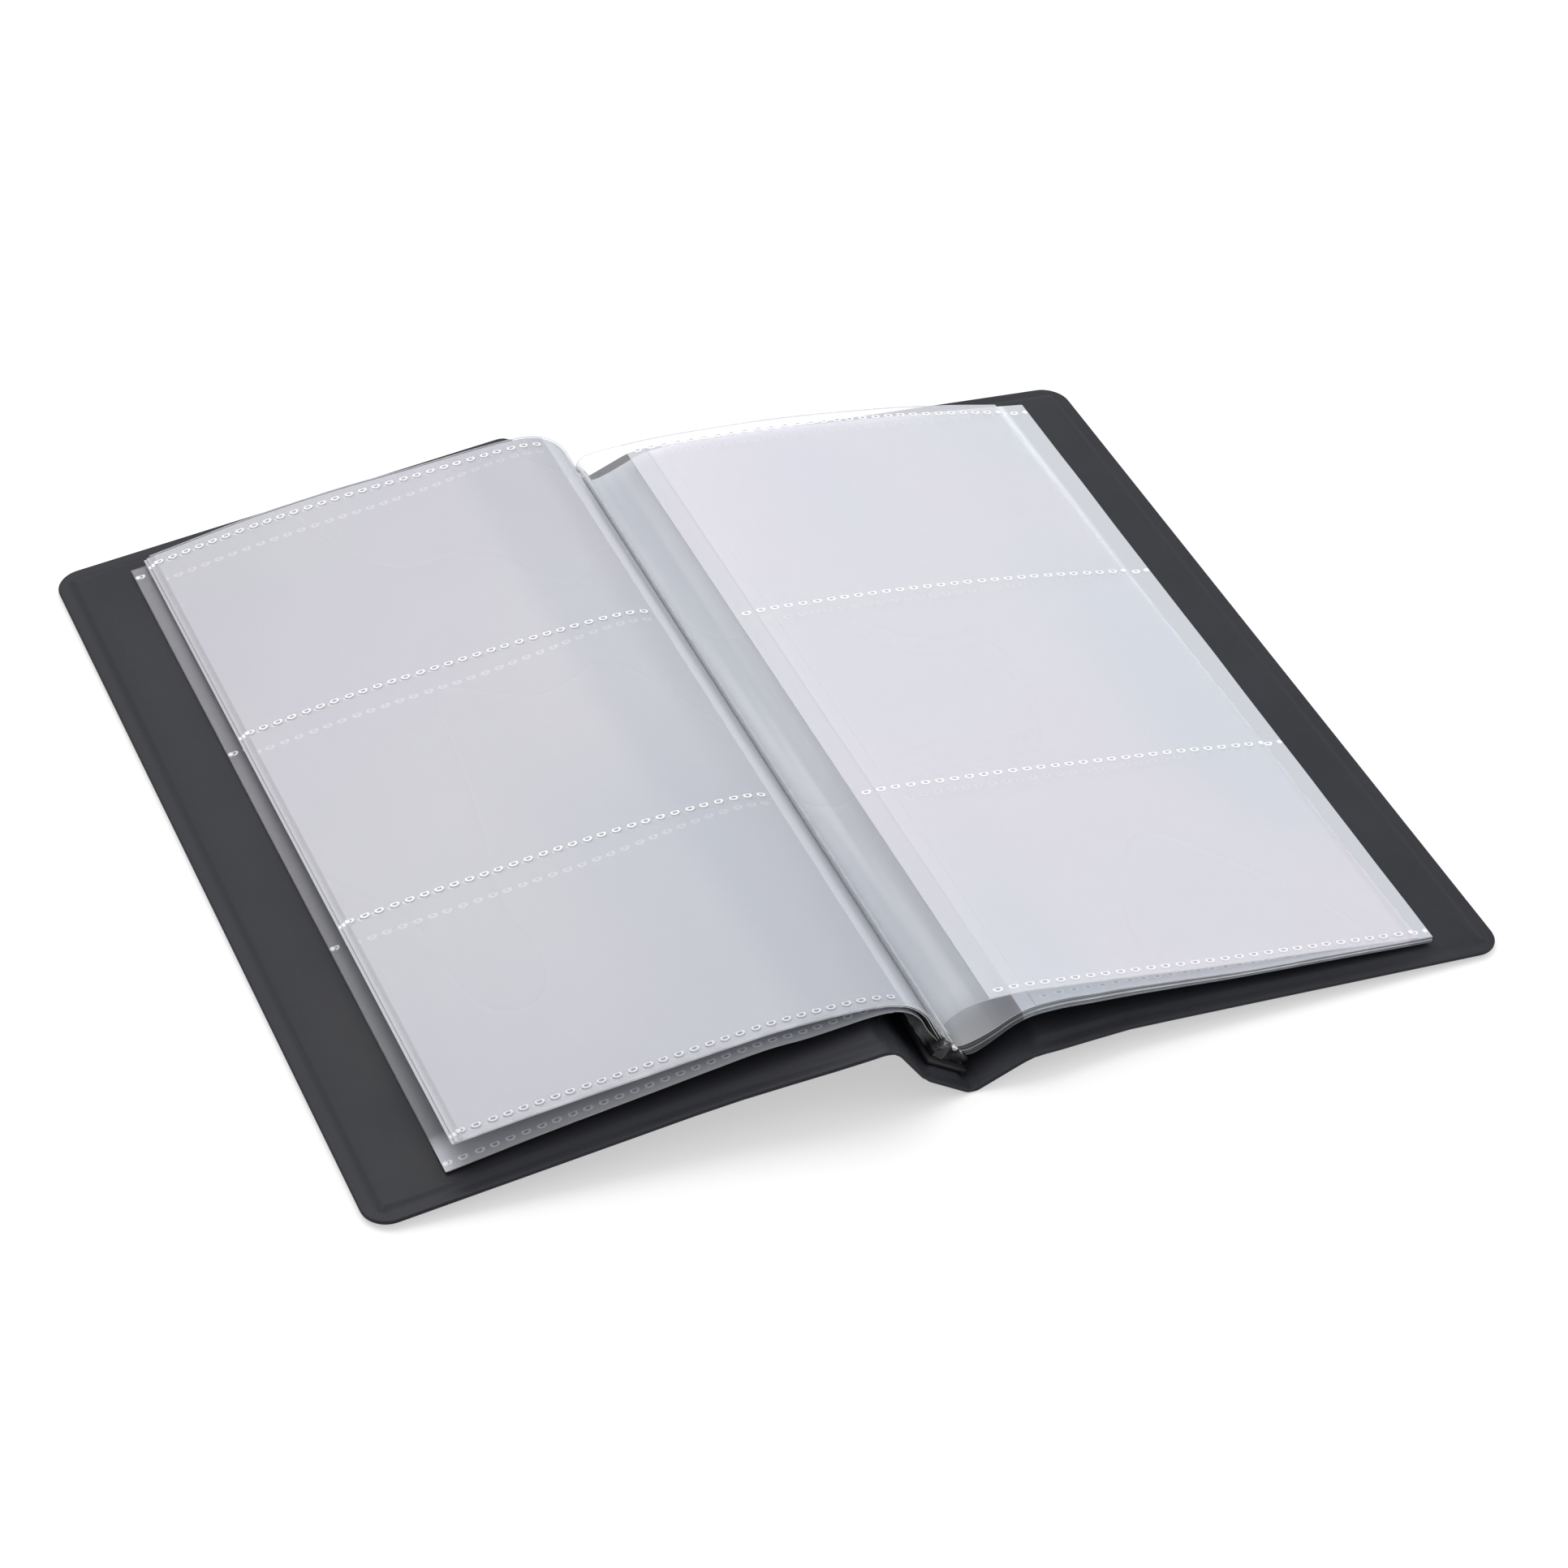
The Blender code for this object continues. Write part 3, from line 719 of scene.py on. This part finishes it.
class Nodes:
    """Adds nodes to a tree and joins them with short calls."""

    def __init__(self, tree):
        self.tree = tree

    def add(self, kind, settings=None, **sockets):
        node = self.tree.nodes.new(kind)
        for key, value in (settings or {}).items():
            setattr(node, key, value)
        for key, value in sockets.items():
            self.feed(node.inputs[key.replace("_", " ")], value)
        return node

    def feed(self, socket, value):
        if isinstance(value, bpy.types.NodeSocket):
            self.tree.links.new(value, socket)
        else:
            socket.default_value = value

    def feed_all(self, sockets, values):
        for socket, value in zip(sockets, values):
            self.feed(socket, value)

    def math(self, operation, *values):
        node = self.add("ShaderNodeMath", {"operation": operation})
        self.feed_all(node.inputs, values)
        return node.outputs[0]

    def times(self, first, second):
        return self.math("MULTIPLY", first, second)

    def plus(self, first, second):
        return self.math("ADD", first, second)

    def minus(self, first, second):
        return self.math("SUBTRACT", first, second)

    def fade(self, value, low, high, out_low=0.0, out_high=1.0):
        """Maps low to high smoothly onto out_low to out_high."""
        node = self.add("ShaderNodeMapRange", {"interpolation_type": "SMOOTHSTEP"})
        self.feed_all(node.inputs, (value, low, high, out_low, out_high))
        return node.outputs[0]

    def blend(self, share, first, second):
        """A colour between two others. The mix node's colour sockets are its 6th and 7th."""
        node = self.add("ShaderNodeMix", {"data_type": "RGBA"})
        self.feed_all((node.inputs[0], node.inputs[6], node.inputs[7]), (share, first, second))
        return node.outputs[2]

    def put(self, label, value):
        """Feeds one of the Principled shader's sockets."""
        self.feed(self.tree.nodes["Principled BSDF"].inputs[label], value)

    def put_bump(self, strength, distance, height):
        bump = self.add("ShaderNodeBump", None, Strength=strength, Distance=distance, Height=height)
        self.put("Normal", bump.outputs[0])

    def place(self):
        """Object coordinates."""
        return self.add("ShaderNodeTexCoord").outputs["Object"]

    def parts(self, vector):
        """The X, Y and Z of a vector."""
        return self.add("ShaderNodeSeparateXYZ", None, Vector=vector).outputs

    def noise(self, place, scale, detail, **more):
        return self.add("ShaderNodeTexNoise", None, Vector=place, Scale=scale, Detail=detail,
                        **more).outputs["Fac"]

    def stretch(self, place, scale, location=(0.0, 0.0, 0.0)):
        return self.add("ShaderNodeMapping", None, Vector=place, Location=location, Scale=scale).outputs[0]

    def length(self, first, second):
        """The length of a vector of two parts."""
        return self.math("SQRT", self.plus(self.times(first, first), self.times(second, second)))


def group_tree(name, inputs, outputs):
    """An empty shader node group with these sockets, its helper and its two end nodes."""
    tree = bpy.data.node_groups.new(name, "ShaderNodeTree")
    kinds = {"value": "NodeSocketFloat", "vector": "NodeSocketVector", "colour": "NodeSocketColor"}
    for label, kind, default in inputs:
        made = tree.interface.new_socket(name=label, in_out="INPUT", socket_type=kinds[kind])
        if default is not None:
            made.default_value = default
    for label, kind in outputs:
        tree.interface.new_socket(name=label, in_out="OUTPUT", socket_type=kinds[kind])
    nodes = Nodes(tree)
    return tree, nodes, tree.nodes.new("NodeGroupInput"), tree.nodes.new("NodeGroupOutput")


def moulded_grain(name):
    """Fine pebbled grain, broad unevenness and a few pale specks, on Object coordinates."""
    tree, nodes, start, end = group_tree(
        name,
        [("Place", "vector", None), ("Grain Scale", "value", 2600.0), ("Speck Amount", "value", 1.0)],
        [("Height", "value"), ("Unevenness", "value"), ("Specks", "value")])
    place = start.outputs["Place"]
    grain = nodes.add("ShaderNodeTexVoronoi", {"feature": "SMOOTH_F1"}, Vector=place,
                      Scale=start.outputs["Grain Scale"], Smoothness=0.7)
    height = nodes.math("MULTIPLY_ADD", nodes.noise(place, 5200.0, 2.0), 0.35, grain.outputs["Distance"])
    dots = nodes.add("ShaderNodeTexVoronoi", None, Vector=place, Scale=62.0, Randomness=1.0)
    size = nodes.add("ShaderNodeSeparateColor", None, Color=dots.outputs["Color"])
    reach = nodes.times(nodes.math("POWER", size.outputs["Red"], 9.0), 0.034)
    speck = nodes.fade(nodes.minus(dots.outputs["Distance"], reach), 0.0, 0.006, 1.0, 0.0)
    nodes.feed(end.inputs["Height"], height)
    nodes.feed(end.inputs["Unevenness"], nodes.noise(place, 32.0, 4.0, Roughness=0.6))
    nodes.feed(end.inputs["Specks"], nodes.times(speck, start.outputs["Speck Amount"]))
    return tree


def weld_rows(name):
    """Rows of small embossed rings on a leaf's map, with a melted bead where a row meets the outer edge."""
    tree, nodes, start, end = group_tree(
        name,
        [("Chart", "vector", None), ("Row Margin", "value", 0.0019), ("Row Pitch", "value", 0.0609),
         ("Mark Pitch", "value", 0.003), ("Mark Length", "value", 0.0017), ("Mark Width", "value", 0.0012),
         ("Seam Start", "value", 0.0215), ("Leaf Width", "value", 0.104)],
        [("Rings", "value"), ("Dimples", "value"), ("Beads", "value"), ("Height", "value")])
    given = start.outputs
    run, down = nodes.parts(given["Chart"])[:2]
    rows = nodes.math("DIVIDE", nodes.minus(down, given["Row Margin"]), given["Row Pitch"])
    row = nodes.math("ROUND", rows)
    off_row = nodes.times(nodes.minus(rows, row), given["Row Pitch"])
    marks = nodes.math("DIVIDE", nodes.minus(run, given["Seam Start"]), given["Mark Pitch"])
    mark = nodes.math("ROUND", marks)
    cell = nodes.add("ShaderNodeCombineXYZ", None, X=mark, Y=row)
    chance = nodes.add("ShaderNodeTexWhiteNoise", {"noise_dimensions": "3D"}, Vector=cell.outputs[0])
    drift = nodes.times(nodes.minus(chance.outputs["Value"], 0.5), 0.00025)
    off_mark = nodes.math("MULTIPLY_ADD", nodes.minus(marks, mark), given["Mark Pitch"], drift)
    wide = nodes.math("DIVIDE", nodes.times(off_mark, 2.0), given["Mark Length"])
    tall = nodes.math("DIVIDE", nodes.times(off_row, 2.0), given["Mark Width"])
    reach = nodes.math("MAXIMUM", nodes.length(wide, tall), nodes.times(tall, 1.5))
    inside = nodes.times(nodes.math("GREATER_THAN", marks, -0.5),
                        nodes.math("LESS_THAN", run, nodes.minus(given["Leaf Width"], 0.0012)))
    off_ring = nodes.math("ABSOLUTE", nodes.minus(reach, 0.84))
    ring = nodes.times(nodes.fade(off_ring, 0.12, 0.44, 1.0, 0.0), inside)
    dimple = nodes.times(nodes.fade(reach, 0.45, 0.8, 1.0, 0.0), inside)
    out = nodes.minus(run, nodes.minus(given["Leaf Width"], 0.0007))
    bead = nodes.fade(nodes.length(out, off_row), 0.0003, 0.00075, 1.0, 0.0)
    height = nodes.minus(nodes.plus(ring, bead), nodes.times(dimple, 0.8))
    for label, value in (("Rings", ring), ("Dimples", dimple), ("Beads", bead), ("Height", height)):
        nodes.feed(end.inputs[label], value)
    return tree


def film_clouds(name):
    """Broad soft patches of two tints, as frosted film shows."""
    tree, nodes, start, end = group_tree(
        name,
        [("Place", "vector", None), ("Base", "colour", (0.7, 0.7, 0.7, 1.0)),
         ("Warm", "colour", (0.7, 0.68, 0.74, 1.0)), ("Cool", "colour", (0.62, 0.68, 0.75, 1.0))],
        [("Colour", "colour"), ("Sheen", "value")])
    given = start.outputs
    first = nodes.noise(given["Place"], 13.0, 1.0)
    second = nodes.noise(nodes.stretch(given["Place"], (1.0, 0.5, 1.0), (0.4, 0.2, 0.0)), 17.0, 1.0)
    warm = nodes.blend(nodes.fade(first, 0.42, 0.72), given["Base"], given["Warm"])
    nodes.feed(end.inputs["Colour"], nodes.blend(nodes.fade(second, 0.45, 0.75), warm, given["Cool"]))
    nodes.feed(end.inputs["Sheen"], second)
    return tree


def new_look(name, roughness, specular=0.5):
    look = bpy.data.materials.new(name)
    look.use_nodes = True
    nodes = Nodes(look.node_tree)
    nodes.put("Roughness", roughness)
    nodes.put("Specular IOR Level", specular)
    return look, nodes


def use_group(nodes, build, **sockets):
    """Adds a node group that carries its function's name, and builds it the first time."""
    name = build.__name__
    node = nodes.tree.nodes.new("ShaderNodeGroup")
    node.node_tree = bpy.data.node_groups.get(name) or build(name)
    for key, value in sockets.items():
        nodes.feed(node.inputs[key.replace("_", " ")], value)
    return node.outputs


def soft_plastic(name, colour, roughness):
    """Soft dark plastic: fine grain, slight unevenness in its sheen, and pale specks of dust."""
    look, nodes = new_look(name, roughness, 0.22)
    grain = use_group(nodes, moulded_grain, Place=nodes.place(), Speck_Amount=0.5)
    uneven = grain["Unevenness"]
    tone = nodes.blend(nodes.fade(uneven, 0.35, 0.65), tinted(colour, 0.86), tinted(colour, 1.14))
    nodes.put("Base Color", nodes.blend(grain["Specks"], tone, (0.12, 0.12, 0.125, 1.0)))
    nodes.put("Roughness", nodes.fade(uneven, 0.3, 0.7, roughness - 0.05, roughness + 0.07))
    nodes.put_bump(0.35, 0.00006, grain["Height"])
    return look


def cardboard(name, colour):
    look, nodes = new_look(name, 0.9, 0.2)
    fibre = nodes.noise(nodes.place(), 900.0, 6.0, Roughness=0.7)
    nodes.put("Base Color", nodes.blend(fibre, tinted(colour, 0.75), tinted(colour, 1.2)))
    nodes.put_bump(0.4, 0.0001, fibre)
    return look


def milky_weld(name, colour):
    """Melted film: milky on top, and dark where it thins out over the black strip at its two ends."""
    look, nodes = new_look(name, 0.34, 0.4)
    place = nodes.place()
    lumps = nodes.noise(place, 620.0, 4.0)
    across, along, up = nodes.parts(place)
    level = nodes.math("MULTIPLY_ADD", across, 0.7133, up)
    level = nodes.math("MULTIPLY_ADD", nodes.minus(lumps, 0.5), 0.005, level)
    end = nodes.fade(nodes.math("ABSOLUTE", along), 0.091, 0.0945)
    # Away from its two ends the top is a cooler grey: painted shade of the narrow gutter between the leaves'
    # roots.
    top = nodes.blend(end, (0.6, 0.62, 0.66, 1.0), tinted(colour, 1.0))
    milky = nodes.math("MAXIMUM", nodes.fade(level, 0.0057, 0.0065), nodes.minus(1.0, end))
    nodes.put("Base Color", nodes.blend(milky, (0.024, 0.024, 0.027, 1.0), top))
    nodes.put_bump(0.6, 0.0002, lumps)
    return look


def cut_edge(name, colour):
    """A film's cut edge, with a little uneven tone. A pale colour is a painted highlight where the edge
    catches the light, and a dark one is painted shade.
    """
    look, nodes = new_look(name, 0.35, 0.5)
    wear = nodes.fade(nodes.noise(nodes.place(), 180.0, 2.0), 0.35, 0.65)
    nodes.put("Base Color", nodes.blend(wear, tinted(colour, 0.82), tinted(colour, 1.08)))
    return look


def frosted_film(name, colour, cover, sizes, side, shade, strip=None, below=False, front=0.0, root=0.0):
    """Frosted film with its embossed weld rows.

    A film with a cover is see-through. A face then hides a share of what lies behind it, which goes
    from cover's first value near the spine to its second, and front and root add to it along the front
    edge and near the weld. Shade tells where the part near the weld starts and ends, and its depth: that
    part is painted darker, partly as the film's clearer part and partly as painted shade, with bands of
    painted reflection. Strip tells the same for a darker part along the outer edge. Below lets the rows
    of the leaf below show through.
    """
    look, nodes = new_look(name, 0.3, 0.45)
    chart = nodes.add("ShaderNodeUVMap", {"uv_map": "film"}).outputs["UV"]
    run, down = nodes.parts(chart)[:2]
    clouds = use_group(nodes, film_clouds, Place=nodes.place(), Base=tinted(colour, 1.0),
                       Warm=tinted(colour, 1.015, 0.985, 1.015), Cool=tinted(colour, 0.945, 0.97, 0.99))
    marks = {"Row_Margin": sizes.row_margin, "Row_Pitch": sizes.row_pitch, "Mark_Pitch": sizes.mark_pitch,
             "Mark_Length": sizes.mark_length, "Mark_Width": sizes.mark_width,
             "Seam_Start": POCKET_START[side] + SEAM_MARGIN, "Leaf_Width": sizes.width}
    seams = use_group(nodes, weld_rows, Chart=chart, **marks)
    pale = nodes.math("MAXIMUM", seams["Rings"], seams["Beads"])
    # The rings' dimples are painted darker: painted shade in their hollows.
    tone = nodes.blend(nodes.times(seams["Dimples"], 0.4), clouds["Colour"], tinted(colour, 0.55))
    if below:
        drop = nodes.fade(run, 0.018, 0.06, 0.0022, 0.0058)
        lower = nodes.add("ShaderNodeCombineXYZ", None, X=run, Y=nodes.plus(down, drop))
        faint = use_group(nodes, weld_rows, Chart=lower.outputs[0], **marks)
        tone = nodes.blend(nodes.times(faint["Rings"], 0.55), tone, (0.97, 0.97, 0.98, 1.0))
    whiteness = nodes.fade(down, 0.006, 0.02, *((0.4, 0.9) if side == LEFT else (0.3, 0.75)))
    tone = nodes.blend(nodes.times(pale, whiteness), tone, (0.98, 0.985, 0.99, 1.0))
    # Bands along the film near the weld: painted reflections on the curved film.
    reflection_bands = nodes.noise(nodes.stretch(chart, (1.0, 0.04, 1.0)), 260.0, 1.0)
    # The part near the weld is painted darker: partly the film's clearer part, partly painted shade of the
    # gutter.
    start, end, depth = shade
    clear = tinted(colour, depth)
    shade_with_reflections = nodes.blend(nodes.fade(reflection_bands, 0.36, 0.64), tinted(clear, 0.84, 0.88, 0.93),
                       tinted(clear, 1.12, 1.13, 1.15))
    if side == LEFT:
        # Painted shade on the left pages: a cool darker tone up to 31 to 41 mm from the weld and towards the
        # front edge, kept off the rings.
        soft = nodes.fade(run, 0.031, 0.041, 0.32, 0.0)
        soft = nodes.plus(soft, nodes.fade(down, 0.0, 0.09, 0.16, 0.0))
        soft = nodes.times(soft, nodes.minus(1.0, pale))
        tone = nodes.blend(soft, tone, tinted(colour, 0.72, 0.77, 0.82))
    else:
        # Painted shade inside the top leaf's loop: near the weld, darker still within 14 mm of the front
        # edge.
        shade_with_reflections = nodes.blend(nodes.fade(down, 0.003, 0.014, 1.0, 0.0), shade_with_reflections, tinted(clear, 0.6))
    tone = nodes.blend(nodes.fade(run, start, end, 1.0, 0.0), tone, shade_with_reflections)
    if strip:
        start, end, depth = strip
        past = nodes.times(nodes.fade(run, start, end), nodes.minus(1.0, pale))
        tone = nodes.blend(past, tone, tinted(colour, depth))
    nodes.put("Base Color", tone)
    nodes.put("Roughness", nodes.fade(clouds["Sheen"], 0.3, 0.7, 0.26, 0.36))
    if cover:
        mouth = POCKET_START[side]
        turn = (0.045, 0.1) if side == LEFT else (mouth - 0.1 * MM, mouth + 0.1 * MM)
        hidden = nodes.fade(run, *turn, *cover) if cover[0] != cover[1] else cover[0]
        for place, low, high, more in ((run, 0.002, 0.008, root), (down, 0.004, 0.01, front)):
            if more:
                hidden = nodes.plus(hidden, nodes.fade(place, low, high, more, 0.0))
        nodes.put("Alpha", nodes.math("MULTIPLY_ADD", pale, 0.5, hidden))
    nodes.put_bump(0.7, 0.00007, seams["Height"])
    return look


# Stage

def lamp(name, place, target, width, depth, power):
    """A soft rectangular lamp that faces a spot."""
    light = bpy.data.lights.new(name, "AREA")
    light.shape = "RECTANGLE"
    light.size = width
    light.size_y = depth
    light.energy = power
    holder = bpy.data.objects.new(name, light)
    bpy.context.scene.collection.objects.link(holder)
    holder.location = place
    holder.rotation_euler = (Vector(target) - Vector(place)).to_track_quat("-Z", "Y").to_euler()


def floor_look(colour):
    """Pale table: what the camera sees is lifted to white, and the object's shadow stays."""
    look, nodes = new_look("pale_table", 0.9, 0.1)
    nodes.put("Base Color", tinted(colour, 1.0))
    path = nodes.add("ShaderNodeLightPath").outputs
    seen = nodes.math("MAXIMUM", path["Is Camera Ray"], path["Is Glossy Ray"])
    seen = nodes.math("MAXIMUM", seen, path["Is Transmission Ray"])
    lift = nodes.add("ShaderNodeEmission", None, Color=WHITE, Strength=nodes.times(seen, 0.5))
    both = nodes.add("ShaderNodeAddShader")
    ends = look.node_tree.nodes
    nodes.feed_all(both.inputs, (ends["Principled BSDF"].outputs[0], lift.outputs[0]))
    nodes.feed(ends["Material Output"].inputs["Surface"], both.outputs[0])
    return look


def white_surround():
    """A world that lights the object evenly and is plain white to the camera and in reflections."""
    world = bpy.data.worlds.new("white_surround")
    world.use_nodes = True
    nodes = Nodes(world.node_tree)
    path = nodes.add("ShaderNodeLightPath").outputs
    seen = nodes.math("MAXIMUM", path["Is Camera Ray"], path["Is Transmission Ray"])
    back = world.node_tree.nodes["Background"].inputs
    nodes.feed(back["Color"], WHITE)
    nodes.feed(back["Strength"], nodes.fade(seen, 0.0, 1.0, 0.68, 1.0))
    return world


class ALBUM_OT_stage(bpy.types.Operator):
    """Pale floor, soft light and the camera"""
    bl_idname = "album.stage"
    bl_label = "Stage"

    def execute(self, context):
        scene = context.scene
        shape = bmesh.new()
        bmesh.ops.create_grid(shape, x_segments=1, y_segments=1, size=6.0)
        floor = finish_piece("pale_floor", shape, [floor_look(scene.album_colours.floor)])
        scene.world = white_surround()
        lamp("overhead_softbox", (-0.1, 0.45, 0.95), (0.0, 0.0, 0.0), 1.2, 1.0, 10.0)
        lamp("side_softbox", (0.9, -0.3, 0.7), (0.0, 0.0, 0.0), 0.7, 0.7, 2.8)
        eye = bpy.data.cameras.new("camera")
        eye.sensor_width = 36.0
        eye.lens = CAMERA_LENS
        eye.clip_start = 0.01
        holder = bpy.data.objects.new("camera", eye)
        scene.collection.objects.link(holder)
        turn = Matrix((CAMERA_RIGHT, -CAMERA_DOWN, -CAMERA_AHEAD)).transposed().to_4x4()
        holder.matrix_world = Matrix.Translation(CAMERA_PLACE) @ turn
        scene.camera = holder
        scene.view_settings.view_transform = "Standard"
        return {"FINISHED"}


class ALBUM_PT_build(bpy.types.Panel):
    """Steps that dress the album"""
    bl_idname = "ALBUM_PT_build"
    bl_label = "Card album"
    bl_space_type = "VIEW_3D"
    bl_region_type = "UI"
    bl_category = "Card album"

    def draw(self, context):
        layout = self.layout
        for step in STEPS:
            layout.operator("album." + step)
        for group in (context.scene.album_cover, context.scene.album_leaves, context.scene.album_colours):
            column = layout.column(align=True)
            for key in group.bl_rna.properties.keys():
                if key not in ("rna_type", "name"):
                    column.prop(group, key)


STEPS = ("stage", "cover", "boards", "binding", "left_leaves", "right_leaves")
CLASSES = (CoverSizes, LeafSizes, AlbumColours, ALBUM_OT_stage, ALBUM_OT_cover, ALBUM_OT_boards,
           ALBUM_OT_binding, ALBUM_OT_left_leaves, ALBUM_OT_right_leaves, ALBUM_PT_build)


def register():
    for made in CLASSES:
        bpy.utils.register_class(made)
    bpy.types.Scene.album_cover = bpy.props.PointerProperty(type=CoverSizes)
    bpy.types.Scene.album_leaves = bpy.props.PointerProperty(type=LeafSizes)
    bpy.types.Scene.album_colours = bpy.props.PointerProperty(type=AlbumColours)


def unregister():
    del bpy.types.Scene.album_colours
    del bpy.types.Scene.album_leaves
    del bpy.types.Scene.album_cover
    for made in reversed(CLASSES):
        bpy.utils.unregister_class(made)


def main():
    register()
    for step in STEPS:
        getattr(bpy.ops.album, step)()


if __name__ == "__main__":
    main()
